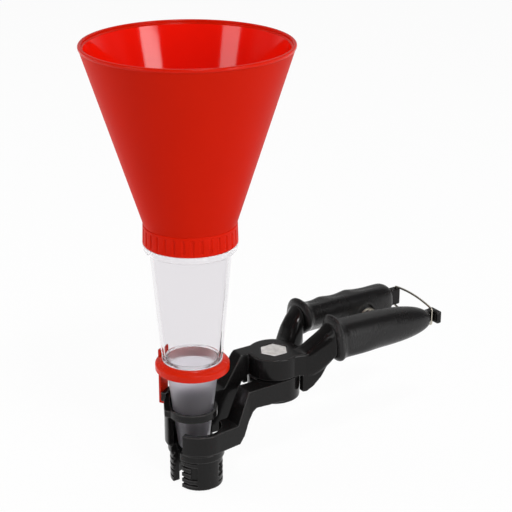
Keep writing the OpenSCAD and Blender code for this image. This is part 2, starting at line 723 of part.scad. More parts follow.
module pivot_bolt() {
    color("silver") translate([pivot_x, 0, 0]) {
        translate([0, 0, lower_z + 0.5]) cylinder(r = bolt_r, h = head_z - lower_z);
        translate([0, 0, head_z]) cylinder(r = hex_r, h = head_h, $fn = 6);
    }
}

module pivot_nut() {
    color("silver") translate([pivot_x, 0, lower_z + nut_well_h - nut_h - 0.3]) difference() {
        cylinder(r = hex_r, h = nut_h, $fn = 6);
        translate([0, 0, -1]) cylinder(r = bolt_r + 0.02, h = nut_h + 2);
    }
}

// The spring is one tube swept round a helix between the pockets' floors. Each end turns in
// and runs straight on to its floor for one wire's width.
spring_wind_r = spring_r - spring_wire_r;
spring_end = 2 * spring_wire_r;
spring_run = 2 * (spring_half - spring_end - spring_wire_r - 0.3);
spring_rings = 8 * spring_turns;
function helix(i) = let (a = 360 * i / 8, y = -spring_run / 2 + spring_run * i / spring_rings)
    [spring_x + spring_wind_r * cos(a), y, spring_z + spring_wind_r * sin(a)];
function spring_tip(y) = [spring_x + spring_wind_r, y, spring_z];
spring_path = concat(
    [spring_tip(-spring_half + 0.1), spring_tip(-spring_half + 0.1 + spring_end)],
    [for (i = [1 : spring_rings - 1]) helix(i)],
    [spring_tip(spring_half - 0.1 - spring_end), spring_tip(spring_half - 0.1)]);
function unit(v) = v / norm(v);
function along(path, i) = unit(path[min(i + 1, len(path) - 1)] - path[max(i - 1, 0)]);
function tube_ring(path, i, out, r, sides) = let (t = along(path, i), u = unit(out - t * (out * t)),
    w = cross(t, u))
    [for (j = [0 : sides - 1]) path[i] + r * (cos(360 * j / sides) * u + sin(360 * j / sides) * w)];
spring_gap = min([for (i = [0 : len(spring_path) - 1], j = [0 : len(spring_path) - 1])
    if (j > i + 5) norm(spring_path[i] - spring_path[j])]) - 2 * spring_wire_r;
echo(least_gap_of_the_spring_to_itself = spring_gap);

// A round wire along a path; outs holds a direction across the path for each of its points
module wire_tube(path, outs, r, sides) {
    rings = len(path);
    points = [for (i = [0 : rings - 1]) each tube_ring(path, i, outs[i], r, sides)];
    walls = [for (i = [0 : rings - 2], j = [0 : sides - 1]) let (k = (j + 1) % sides)
        each [[i * sides + j, (i + 1) * sides + j, (i + 1) * sides + k],
            [i * sides + j, (i + 1) * sides + k, i * sides + k]]];
    front_cap = [for (j = [1 : sides - 2]) [0, j, j + 1]];
    back_cap = [for (j = [1 : sides - 2]) let (b = (rings - 1) * sides) [b, b + j + 1, b + j]];
    polyhedron(points = points, faces = concat(walls, front_cap, back_cap), convexity = 10);
}

module handle_spring() {
    outs = [for (p = spring_path) unit([p[0] - spring_x, 0, p[2] - spring_z])];
    color("lightgray") wire_tube(spring_path, outs, spring_wire_r, 6);
}

// The bail is one wire: down into the post's hole at both ends, two bowed runs and the bar that
// lies behind the hook's lip
bail_bend = 1.75 * bail_wire_r;
bail_steps = 8;
bar_top_z = hook_z + bail_bar_half;
bar_foot_z = hook_z - bail_bar_half;
function bail_run(post_z, bar_z, bow, i) = let (t = i / bail_steps)
    [bail_x + (bail_bar_x - bail_x) * t, post_y - (post_y + bail_bar_y) * t,
        post_z + (bar_z - post_z) * t + 4 * bow * t * (1 - t)];
function top_run(i) = bail_run(bail_top_z, bar_top_z, bail_bow, i);
function foot_run(i) = bail_run(bail_foot_z, bar_foot_z, -bail_bow, i);
function bend(a, b, c) = let (p = b + bail_bend * unit(a - b), q = b + bail_bend * unit(c - b))
    [for (k = [0 : 4]) let (t = k / 4) p * (1 - t) * (1 - t) + b * 2 * t * (1 - t) + q * t * t];
bail_top_end = [bail_x, post_y, bail_top_z - bail_stub - bail_wire_r];
bail_foot_end = [bail_x, post_y, bail_foot_z + bail_stub + bail_wire_r];
bail_path = concat(
    [bail_top_end], bend(bail_top_end, top_run(0), top_run(1)),
    [for (i = [1 : bail_steps - 1]) top_run(i)],
    bend(top_run(bail_steps - 1), top_run(bail_steps), foot_run(bail_steps)),
    bend(top_run(bail_steps), foot_run(bail_steps), foot_run(bail_steps - 1)),
    [for (i = [bail_steps - 1 : -1 : 1]) foot_run(i)],
    bend(foot_run(1), foot_run(0), bail_foot_end), [bail_foot_end]);

module bail() {
    outs = [for (p = bail_path) [1, 0, 0]];
    color("silver") wire_tube(bail_path, outs, bail_wire_r, 12);
}

hopper();
spout();
lock_ring();
lock_clip();
near_lever();
near_grip();
far_lever();
far_grip();
pivot_bolt();
pivot_nut();
handle_spring();
bail();
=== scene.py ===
"""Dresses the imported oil-filling funnel and its plier clamp.

Every length of the part is in millimetres and every mesh in metres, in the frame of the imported
part: +Z up the funnel's axis, +X to the handles, near handle on -Y.
"""
import logging
import math
from collections.abc import Callable
from dataclasses import dataclass
from enum import Enum

import bmesh
import bpy
import numpy as np
from bpy.types import ID, Material, Mesh, Node, NodeSocket, NodeTree, Object
from mathutils import Matrix, Vector


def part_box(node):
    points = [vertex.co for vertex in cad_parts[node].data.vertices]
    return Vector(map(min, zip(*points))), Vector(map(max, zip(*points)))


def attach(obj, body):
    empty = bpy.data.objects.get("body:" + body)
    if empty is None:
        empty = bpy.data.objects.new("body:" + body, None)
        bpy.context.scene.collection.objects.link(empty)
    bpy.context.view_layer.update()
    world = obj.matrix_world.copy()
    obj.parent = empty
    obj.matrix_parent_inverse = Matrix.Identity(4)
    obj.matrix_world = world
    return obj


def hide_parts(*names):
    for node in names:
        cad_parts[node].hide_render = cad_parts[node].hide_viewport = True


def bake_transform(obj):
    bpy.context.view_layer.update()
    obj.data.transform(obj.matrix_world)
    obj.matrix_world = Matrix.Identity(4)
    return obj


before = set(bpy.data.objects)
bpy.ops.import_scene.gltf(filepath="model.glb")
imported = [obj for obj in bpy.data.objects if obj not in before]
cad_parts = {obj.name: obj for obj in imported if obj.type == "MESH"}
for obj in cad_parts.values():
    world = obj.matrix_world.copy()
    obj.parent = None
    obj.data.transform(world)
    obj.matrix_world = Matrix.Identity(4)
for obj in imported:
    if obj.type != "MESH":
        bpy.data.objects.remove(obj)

MM = 0.001
WELD = 1e-6
TINY = 1e-9
SMOOTH_STEP = 0.5
SOFT_LEVELS = 100
SCUFF_STRETCH = (1.0, 1.0, 0.22)
SCUFF_TURN = (0.3, 0.5, 0.2)
SCUFF_BAND = (0.56, 0.72)
GROOVE_BAND = (1.15, 0.35)
WHOLE_TURNS = 1000.0
# Spread, gain and start of the lighter-edge mask: painted edge highlight and rub wear.
GLINT_WEAR_ROUNDS = 2
GLINT_WEAR_GAIN = 9.0
GLINT_WEAR_START = 0.15
BEND_SHARE = 0.45
STRAIGHT = math.radians(176)
LOG = logging.getLogger("oil_funnel")
Point = tuple[float, float]
Spot = tuple[float, float, float]
Colour = tuple[float, float, float]
Softness = Callable[[np.ndarray], np.ndarray]


class Body(Enum):
    """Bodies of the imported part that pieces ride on."""

    NEAR_SIDE = "near_side"
    FAR_SIDE = "far_side"
    BAIL = "bail"
    CLIP = "clip"
    SPOUT = "spout"
    HOPPER = "hopper"


class Slot(Enum):
    """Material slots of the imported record."""

    RED_HOPPER = "red_hopper"
    CLEAR_SPOUT = "clear_spout"
    RED_RING = "red_ring"
    BLACK_LEVER = "black_lever"
    BLACK_GRIP = "black_grip"
    BOLT_STEEL = "bolt_steel"
    WIRE_STEEL = "wire_steel"


class NodeSheet:
    """Adds and joins nodes of one tree with little writing."""

    def __init__(self, tree: NodeTree) -> None:
        """Keeps the tree that the nodes go in."""
        self.tree = tree

    def add(self, kind: str, **settings: object) -> Node:
        """Adds one node.

        Args:
            kind: Blender's name of the node type.
            settings: properties of the node to set.

        Returns:
            The new node.
        """
        node = self.tree.nodes.new(kind)
        for name, value in settings.items():
            setattr(node, name, value)
        return node

    def join(self, source: NodeSocket, target: NodeSocket) -> None:
        """Links an output to an input."""
        self.tree.links.new(source, target)

    def put(self, socket: NodeSocket, value: object) -> None:
        """Feeds an input.

        Args:
            socket: the input.
            value: a plain value or another node's output.
        """
        if isinstance(value, NodeSocket):
            self.join(value, socket)
        else:
            socket.default_value = value

    def math(self, operation: str, first: object, second: object = 0.0) -> NodeSocket:
        """Adds a math node.

        Args:
            operation: Blender's name of the operation.
            first: number or output for the first input.
            second: number or output for the second input.

        Returns:
            The node's output.
        """
        node = self.add("ShaderNodeMath", operation=operation)
        self.put(node.inputs[0], first)
        self.put(node.inputs[1], second)
        return node.outputs[0]

    def length(self, first: NodeSocket, second: NodeSocket) -> NodeSocket:
        """Gives the length of two legs at a right angle."""
        squares = [self.math("MULTIPLY", leg, leg) for leg in (first, second)]
        return self.math("SQRT", self.math("ADD", *squares))

    def noise(self, place: NodeSocket, scale: NodeSocket, detail: float,
              weight: float = 0.5) -> NodeSocket:
        """Adds a noise texture.

        Args:
            place: where the noise is read.
            scale: its scale.
            detail: its number of finer layers.
            weight: weight of the finer layers.

        Returns:
            The noise's value.
        """
        node = self.add("ShaderNodeTexNoise")
        self.join(place, node.inputs["Vector"])
        self.join(scale, node.inputs["Scale"])
        node.inputs["Detail"].default_value = detail
        node.inputs["Roughness"].default_value = weight
        return node.outputs["Fac"]

    def ramp(self, value: NodeSocket, start: float, end: float, top: float = 1.0,
             kind: str = "SMOOTHSTEP") -> NodeSocket:
        """Maps a value to a ramp that starts at 0.

        Args:
            value: the value.
            start: where the ramp starts.
            end: where it ends.
            top: the result at its end.
            kind: Blender's name of the ramp's form.

        Returns:
            The result.
        """
        node = self.add("ShaderNodeMapRange", interpolation_type=kind)
        self.join(value, node.inputs["Value"])
        for key, number in (("From Min", start), ("From Max", end), ("To Max", top)):
            node.inputs[key].default_value = number
        return node.outputs["Result"]

    def press(self, shader: Node, height: NodeSocket, strength: float, depth: float) -> None:
        """Presses a skin into a shader's normals.

        Args:
            shader: the shader.
            height: the skin's height.
            strength: strength of the bump.
            depth: its depth, in millimetres.
        """
        bump = self.add("ShaderNodeBump")
        bump.inputs["Strength"].default_value = strength
        bump.inputs["Distance"].default_value = depth * MM
        self.join(height, bump.inputs["Height"])
        self.join(bump.outputs["Normal"], shader.inputs["Normal"])

    def end_mix(self, kind: str, share: NodeSocket, first: Node, second: Node) -> None:
        """Ends the tree in a mix of two shaders.

        Args:
            kind: Blender's name of the output node.
            share: share of the second shader.
            first: the first shader.
            second: the second shader.
        """
        mix = self.add("ShaderNodeMixShader")
        for socket, source in zip(mix.inputs, (share, first.outputs[0], second.outputs[0])):
            self.join(source, socket)
        self.join(mix.outputs[0], self.add(kind).inputs["Surface"])


def shader_group(name: str, inputs: list[str], outputs: list[str]) -> tuple[NodeSheet, dict, dict]:
    """Starts a shader node group with number sockets.

    Args:
        name: the group's name.
        inputs: names of its inputs.
        outputs: names of its outputs.

    Returns:
        The group's sheet, its inputs by name and the sockets to feed by output name.
    """
    tree = bpy.data.node_groups.new(name, "ShaderNodeTree")
    for way, names in (("INPUT", inputs), ("OUTPUT", outputs)):
        for key in names:
            tree.interface.new_socket(key, in_out=way, socket_type="NodeSocketFloat")
    sheet = NodeSheet(tree)
    source = sheet.add("NodeGroupInput")
    target = sheet.add("NodeGroupOutput")
    return sheet, {k: source.outputs[k] for k in inputs}, {k: target.inputs[k] for k in outputs}


def moulded_grain_group() -> NodeTree:
    """Builds the group for moulded plastic: fine spark grain and broad uneven patches.

    Returns:
        The shader node group, with outputs Height and Patch.
    """
    sheet, sizes, results = shader_group(
        "moulded_grain", ["Grain Scale", "Patch Scale"], ["Height", "Patch"])
    place = sheet.add("ShaderNodeTexCoord").outputs["Object"]
    sheet.join(sheet.noise(place, sizes["Grain Scale"], 3.0, 0.62), results["Height"])
    sheet.join(sheet.noise(place, sizes["Patch Scale"], 4.0), results["Patch"])
    return sheet.tree


def handling_marks_group() -> NodeTree:
    """Builds the group for faint handling scuffs, long and thin in all directions.

    Returns:
        The shader node group, with output Scuff.
    """
    sheet, sizes, results = shader_group("handling_marks", ["Scale", "Amount"], ["Scuff"])
    place = sheet.add("ShaderNodeTexCoord").outputs["Object"]
    stretch = sheet.add("ShaderNodeMapping")
    stretch.inputs["Scale"].default_value = SCUFF_STRETCH
    stretch.inputs["Rotation"].default_value = SCUFF_TURN
    sheet.join(place, stretch.inputs["Vector"])
    lines = sheet.noise(stretch.outputs["Vector"], sizes["Scale"], 6.0, 0.7)
    ramp = sheet.ramp(lines, *SCUFF_BAND, kind="LINEAR")
    sheet.join(sheet.math("MULTIPLY", ramp, sizes["Amount"]), results["Scuff"])
    return sheet.tree


class Effects:
    """Shader groups shared by the finishes, each built once."""

    def __init__(self) -> None:
        """Builds the groups."""
        self.grain = moulded_grain_group()
        self.marks = handling_marks_group()

    def place(self, sheet: NodeSheet, tree: NodeTree, **values: float) -> Node:
        """Puts a group into a material.

        Args:
            sheet: the material's sheet.
            tree: the group.
            values: its inputs, with underscores for spaces.

        Returns:
            The group node.
        """
        node = sheet.add("ShaderNodeGroup", node_tree=tree)
        for key, value in values.items():
            node.inputs[key.replace("_", " ")].default_value = value
        return node


def empty_sheet(owner: ID) -> NodeSheet:
    """Empties the node tree of a material or world.

    Args:
        owner: the material or world.

    Returns:
        The sheet of its tree.
    """
    owner.use_nodes = True
    owner.node_tree.nodes.clear()
    return NodeSheet(owner.node_tree)


def blank_material(name: str) -> tuple[Material, NodeSheet, Node]:
    """Starts a material with only its main shader.

    Args:
        name: the material's name.

    Returns:
        The material, its sheet and its Principled shader.
    """
    material = bpy.data.materials.new(name)
    sheet = empty_sheet(material)
    shader = sheet.add("ShaderNodeBsdfPrincipled")
    end = sheet.add("ShaderNodeOutputMaterial")
    sheet.join(shader.outputs["BSDF"], end.inputs["Surface"])
    return material, sheet, shader


def between(sheet: NodeSheet, mask: NodeSocket, low: object, high: Colour) -> NodeSocket:
    """Mixes two colours by a mask.

    Args:
        sheet: the material's sheet.
        mask: 0 to 1 over the surface.
        low: colour at 0, or an output that gives it.
        high: colour at 1.

    Returns:
        The mixed colour.
    """
    mix = sheet.add("ShaderNodeMix", data_type="RGBA")
    sheet.join(mask, mix.inputs["Factor"])
    sheet.put(mix.inputs["A"], (*low, 1.0) if isinstance(low, tuple) else low)
    sheet.put(mix.inputs["B"], (*high, 1.0))
    return mix.outputs["Result"]


@dataclass(frozen=True)
class Grained:
    """A plastic or metal with a fine grain, uneven gloss, faint scuffs and perhaps lighter edges, which
    are painted highlight standing for edge glints as well as rub wear.
    """

    name: str
    colour: Colour
    tint: Colour
    rough_low: float
    rough_high: float
    grain_scale: float
    grain_depth: float
    scuff: float
    specular: float = 0.5
    edge_glint_wear_colour: Colour | None = None
    metallic: float = 0.0
    patch_scale: float = 24.0
    scuff_scale: float = 60.0
    bump: float = 0.55

    def build(self, effects: Effects) -> Material:
        """Makes the material.

        Args:
            effects: the shared shader groups.

        Returns:
            The material.
        """
        material, sheet, shader = blank_material(self.name)
        grain = effects.place(
            sheet, effects.grain, Grain_Scale=self.grain_scale, Patch_Scale=self.patch_scale)
        marks = effects.place(sheet, effects.marks, Scale=self.scuff_scale, Amount=self.scuff)
        patch = grain.outputs["Patch"]
        colour = between(sheet, patch, self.colour, self.tint)
        # Lighter edges: painted highlight standing for edge glints, and rub wear.
        if self.edge_glint_wear_colour is not None:
            edge_glint_wear = sheet.add("ShaderNodeAttribute", attribute_name="edge_glint_wear")
            colour = between(sheet, edge_glint_wear.outputs["Fac"], colour, self.edge_glint_wear_colour)
        sheet.join(colour, shader.inputs["Base Color"])
        shader.inputs["Metallic"].default_value = self.metallic
        shader.inputs["Specular IOR Level"].default_value = self.specular
        spread = sheet.math("MULTIPLY", patch, self.rough_high - self.rough_low)
        rough = sheet.math("ADD", spread, self.rough_low)
        sheet.join(sheet.math("ADD", rough, marks.outputs["Scuff"]), shader.inputs["Roughness"])
        sheet.press(shader, grain.outputs["Height"], self.bump, self.grain_depth)
        return material


@dataclass(frozen=True)
class ClearPlastic:
    """Clear moulded plastic with a slightly wavy skin, from glass-clear to frosted or hazy."""

    name: str
    colour: Colour
    ior: float
    rough: float
    waviness: float
    clearness: float
    wave_scale: float = 60.0
    wave_rough: float = 0.02
    wave_depth: float = 0.3

    def build(self, effects: Effects) -> Material:
        """Makes the material.

        Args:
            effects: the shared shader groups.

        Returns:
            The material.
        """
        material, sheet, shader = blank_material(self.name)
        shader.inputs["Base Color"].default_value = (*self.colour, 1.0)
        shader.inputs["IOR"].default_value = self.ior
        shader.inputs["Transmission Weight"].default_value = self.clearness
        waves = effects.place(sheet, effects.grain, Patch_Scale=self.wave_scale)
        uneven = sheet.math("MULTIPLY", waves.outputs["Patch"], self.wave_rough)
        sheet.join(sheet.math("ADD", uneven, self.rough), shader.inputs["Roughness"])
        sheet.press(shader, waves.outputs["Patch"], self.waviness, self.wave_depth)
        return material


class Finishes:
    """All finishes of the part."""

    def __init__(self) -> None:
        """Builds every material once."""
        effects = Effects()
        self.hopper_outside = Grained(
            "red_satin_outside", (0.51, 0.0088, 0.0006), (0.55, 0.0104, 0.0010),
            0.40, 0.50, 2600.0, 0.05, 0.05, 0.042).build(effects)
        self.rim = Grained(
            "red_rim", (0.56, 0.0080, 0.0004), (0.59, 0.0092, 0.0007),
            0.18, 0.24, 2000.0, 0.01, 0.03, 0.11).build(effects)
        # The inside's brighter red is painted light: glow through the wall and light bounced between the
        # inner walls.
        self.hopper_inside = Grained(
            "red_gloss_inside", (0.81, 0.0056, 0.0003), (0.85, 0.0068, 0.0005),
            0.08, 0.11, 1500.0, 0.006, 0.02, 0.52).build(effects)
        self.collar = Grained(
            "red_collar", (0.545, 0.0088, 0.0008), (0.575, 0.0102, 0.0013),
            0.36, 0.44, 2200.0, 0.03, 0.04, 0.045).build(effects)
        self.ring = Grained(
            "red_ring_gloss", (0.55, 0.0140, 0.0018), (0.585, 0.0160, 0.0025),
            0.22, 0.30, 2000.0, 0.02, 0.05, 0.13).build(effects)
        # The lever's and the grip's last colour lightens their edges: painted highlight for edge glints,
        # and rub wear.
        self.lever = Grained(
            "black_filled_nylon", (0.0058, 0.0054, 0.0054), (0.0080, 0.0075, 0.0075),
            0.14, 0.20, 1700.0, 0.04, 0.05, 0.19, (0.046, 0.0445, 0.044)).build(effects)
        self.grip = Grained(
            "black_grip_sheen", (0.0084, 0.0080, 0.0081), (0.0112, 0.0107, 0.0109),
            0.23, 0.30, 800.0, 0.45, 0.06, 0.29, (0.026, 0.0253, 0.0253)).build(effects)
        tint = (0.892, 0.879, 0.893)
        self.clear = ClearPlastic("clear_spout_wall", tint, 1.06, 0.06, 0.04, 1.0).build(effects)
        self.flange = ClearPlastic("thick_spout_flange", tint, 1.22, 0.10, 0.04, 0.86).build(effects)
        self.hazy = ClearPlastic("hazy_spout_step", tint, 1.24, 0.07, 0.04, 0.75).build(effects)
        # The foot's darker lilac-grey tint is painted shade of the black clamp behind it; its frost is
        # its roughness.
        frost_shade_tint = (0.765, 0.742, 0.785)
        self.frosted = ClearPlastic("frosted_spout_foot", frost_shade_tint, 1.27, 0.36, 0.10, 0.97).build(effects)
        steel = {"scuff_scale": 220.0, "bump": 0.25}
        # The bolt's near-white edge colour is painted highlight along its edges, and rub wear.
        self.bolt = Grained(
            "zinc_bolt", (0.98, 0.97, 0.945), (0.40, 0.395, 0.375), 0.46, 0.62, 900.0, 0.05, 0.12,
            edge_glint_wear_colour=(0.98, 0.98, 0.97), metallic=0.35, patch_scale=280.0, **steel).build(effects)
        self.wire = Grained(
            "drawn_wire", (0.60, 0.56, 0.48), (0.46, 0.43, 0.37), 0.22, 0.36, 900.0, 0.05, 0.12,
            metallic=1.0, patch_scale=180.0, **steel).build(effects)


def linked(name: str, data: ID) -> Object:
    """Puts a mesh, curve, lamp or camera into the scene at the origin.

    Args:
        name: the object's name.
        data: what it shows, with meshes and curves in metres.

    Returns:
        The new object.
    """
    piece = bpy.data.objects.new(name, data)
    bpy.context.scene.collection.objects.link(piece)
    return piece


def bake(piece: Object) -> Object:
    """Turns a piece with modifiers into a plain mesh of the same name.

    Args:
        piece: the object whose modifiers are applied.

    Returns:
        The new plain object.
    """
    depsgraph = bpy.context.evaluated_depsgraph_get()
    mesh = bpy.data.meshes.new_from_object(piece.evaluated_get(depsgraph))
    name = piece.name
    bpy.data.objects.remove(piece)
    mesh.name = name
    return linked(name, mesh)


def bend(here: Vector, back: Vector, ahead: Vector, reach: float, steps: int) -> list[tuple]:
    """Rounds one corner.

    Args:
        here: the corner.
        back: way to the point before it.
        ahead: way to the point after it.
        reach: how far from the corner the bend may start.
        steps: parts of the bend.

    Returns:
        Points of the bend.
    """
    reach = min(reach, BEND_SHARE * back.length, BEND_SHARE * ahead.length)
    start = here + back.normalized() * reach
    end = here + ahead.normalized() * reach
    shares = [k / steps for k in range(steps + 1)]
    return [tuple(start * (1 - t) ** 2 + here * 2 * t * (1 - t) + end * t ** 2) for t in shares]


def rounded(points: list[Point], radius: float, steps: int = 4) -> list[Point]:
    """Rounds the corners of a closed outline.

    Args:
        points: corners of the outline in order.
        radius: largest radius of a corner.
        steps: parts of each rounded corner.

    Returns:
        The rounded outline.
    """
    result: list[Point] = []
    count = len(points)
    for i in range(count):
        here = Vector(points[i])
        back = Vector(points[i - 1]) - here
        ahead = Vector(points[(i + 1) % count]) - here
        turn = back.angle(ahead, math.pi)
        if turn > STRAIGHT:
            result.append(points[i])
        else:
            result += bend(here, back, ahead, radius / math.tan(turn / 2), steps)
    return result


def lathe(name: str, outline: list[Point], segments: int) -> Object:
    """Turns a closed outline round the funnel's axis.

    Args:
        name: the object's name.
        outline: corners as radius and height, in millimetres.
        segments: steps round the axis.

    Returns:
        A smooth closed object.
    """
    angles = np.linspace(0.0, 2 * math.pi, segments, endpoint=False)
    ring = np.array(outline) * MM
    spots = np.stack([
        np.outer(ring[:, 0], np.cos(angles)),
        np.outer(ring[:, 0], np.sin(angles)),
        np.repeat(ring[:, 1:], segments, axis=1)], axis=-1).reshape(-1, 3)
    row = np.arange(len(spots)).reshape(-1, segments)
    above = np.roll(row, -1, axis=0)
    faces = np.stack([row, np.roll(row, -1, axis=1), np.roll(above, -1, axis=1), above], axis=-1)
    mesh = bpy.data.meshes.new(name)
    mesh.from_pydata(spots.tolist(), [], faces.reshape(-1, 4).tolist())
    work = bmesh.new()
    work.from_mesh(mesh)
    bmesh.ops.recalc_face_normals(work, faces=work.faces)
    work.to_mesh(mesh)
    work.free()
    mesh.shade_smooth()
    return linked(name, mesh)


def densified(outline: list[Point], low: float, high: float, step: float) -> list[Point]:
    """Adds points to the parts of an outline that lie in a band of heights.

    Args:
        outline: a closed outline.
        low: lower end of the band.
        high: upper end of the band.
        step: longest run left without a point there.

    Returns:
        The denser outline.
    """
    result: list[Point] = []
    for i, (r0, z0) in enumerate(outline):
        r1, z1 = outline[(i + 1) % len(outline)]
        result.append((r0, z0))
        if min(z0, z1) > high or max(z0, z1) < low:
            continue
        parts = int(math.hypot(r1 - r0, z1 - z0) / step)
        for k in range(1, parts):
            t = k / parts
            result.append((r0 + (r1 - r0) * t, z0 + (z1 - z0) * t))
    return result


def points_of(mesh: Mesh) -> np.ndarray:
    """Reads a mesh's points.

    Args:
        mesh: the mesh.

    Returns:
        The points as rows, in metres.
    """
    spots = np.empty(len(mesh.vertices) * 3)
    mesh.vertices.foreach_get("co", spots)
    return spots.reshape(-1, 3)


def edge_glint_wear_mask(mesh: Mesh) -> None:
    """Writes how sharply each point stands out, for lighter edges: painted highlight along edges that
    stands for glints, and rub wear.

    Args:
        mesh: the mesh that gets the attribute.
    """
    count = len(mesh.vertices)
    spots = points_of(mesh)
    normals = np.empty(count * 3)
    mesh.vertices.foreach_get("normal", normals)
    normals = normals.reshape(-1, 3)
    pairs = np.empty(len(mesh.edges) * 2, dtype=np.int64)
    mesh.edges.foreach_get("vertices", pairs)
    pairs = pairs.reshape(-1, 2)
    here, there = np.concatenate([pairs, pairs[:, ::-1]]).T
    near = np.maximum(np.bincount(here, minlength=count), 1)
    span = np.bincount(here, np.linalg.norm(spots[here] - spots[there], axis=1), count)
    middle = np.stack([np.bincount(here, axis[there], count) for axis in spots.T], axis=1)
    lean = np.einsum("ij,ij->i", spots - middle / near[:, None], normals)
    lean = lean / np.maximum(span / near, TINY)
    for _ in range(GLINT_WEAR_ROUNDS):
        lean = 0.5 * lean + 0.5 * np.bincount(here, lean[there], count) / near
    edge_glint_wear = np.clip(lean * GLINT_WEAR_GAIN - GLINT_WEAR_START, 0.0, 1.0).astype(np.float32)
    mesh.attributes.new("edge_glint_wear", "FLOAT", "POINT").data.foreach_set("value", edge_glint_wear)


def softened(node: str, name: str, finish: Material, voxel: float, passes: int, share: float,
             softness: Softness | None = None) -> Object:
    """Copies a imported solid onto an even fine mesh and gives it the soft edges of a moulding.

    Args:
        node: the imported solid's name.
        name: the new piece's name.
        finish: its material.
        voxel: size of the remeshing step, in millimetres.
        passes: smoothing passes over the edges.
        share: part of the faces that is kept at the end.
        softness: how strongly the passes act at each point in millimetres, 1 everywhere if left out.

    Returns:
        The softened object.
    """
    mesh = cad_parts[node].data.copy()
    mesh.name = name
    mesh.materials.clear()
    work = bmesh.new()
    work.from_mesh(mesh)
    bmesh.ops.remove_doubles(work, verts=work.verts, dist=WELD)
    work.to_mesh(mesh)
    work.free()
    piece = linked(name, mesh)
    remesh = piece.modifiers.new("remesh", "REMESH")
    remesh.mode = "VOXEL"
    remesh.voxel_size = voxel * MM
    remesh.use_smooth_shade = True
    piece = bake(piece)
    smooth = piece.modifiers.new("smooth", "SMOOTH")
    smooth.factor = SMOOTH_STEP
    smooth.iterations = passes
    if softness is not None:
        group = piece.vertex_groups.new(name="soft")
        levels = np.rint(SOFT_LEVELS * softness(points_of(piece.data) / MM)).astype(int)
        for level in np.unique(levels):
            group.add(np.flatnonzero(levels == level).tolist(), level / SOFT_LEVELS, "REPLACE")
        smooth.vertex_group = group.name
    thin = piece.modifiers.new("thin", "DECIMATE")
    thin.ratio = share
    piece = bake(piece)
    piece.vertex_groups.clear()
    low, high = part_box(node)
    inside = np.clip(points_of(piece.data), np.array(low), np.array(high))
    piece.data.vertices.foreach_set("co", inside.ravel())
    piece.data.shade_smooth()
    # Lighter-edge mask for the shader: painted edge highlight and rub wear.
    edge_glint_wear_mask(piece.data)
    piece.data.materials.append(finish)
    return piece


def settle(piece: Object, body: Body, slot: Slot, *nodes: str) -> None:
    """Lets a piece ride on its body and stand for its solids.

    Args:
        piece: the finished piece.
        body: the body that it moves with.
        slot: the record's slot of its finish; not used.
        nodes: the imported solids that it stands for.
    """
    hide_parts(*nodes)
    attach(piece, body.value)
    LOG.info("%s rides on %s, %d faces", piece.name, body.value, len(piece.data.polygons))


def geometry_tree(name: str, sizes: list[str]) -> tuple[NodeSheet, Node, Node]:
    """Starts a geometry tree with number inputs and a material input.

    Args:
        name: the tree's name.
        sizes: names of its number inputs.

    Returns:
        The tree's sheet, its input node and its output node.
    """
    tree = bpy.data.node_groups.new(name, "GeometryNodeTree")
    tree.interface.new_socket("Geometry", in_out="INPUT", socket_type="NodeSocketGeometry")
    for key in sizes:
        tree.interface.new_socket(key, in_out="INPUT", socket_type="NodeSocketFloat")
    tree.interface.new_socket("Finish", in_out="INPUT", socket_type="NodeSocketMaterial")
    tree.interface.new_socket("Geometry", in_out="OUTPUT", socket_type="NodeSocketGeometry")
    sheet = NodeSheet(tree)
    return sheet, sheet.add("NodeGroupInput"), sheet.add("NodeGroupOutput")


def apply_tree(piece: Object, tree: NodeTree, **values: object) -> Object:
    """Runs a geometry tree on a piece and bakes the result.

    Args:
        piece: the object that the tree works on.
        tree: the geometry tree.
        values: its inputs, with underscores for spaces.

    Returns:
        The plain object with the result.
    """
    modifier = piece.modifiers.new(tree.name, "NODES")
    modifier.node_group = tree
    for item in tree.interface.items_tree:
        key = item.name.replace(" ", "_")
        if item.in_out == "INPUT" and key in values:
            modifier[item.identifier] = values[key]
    return bake(piece)


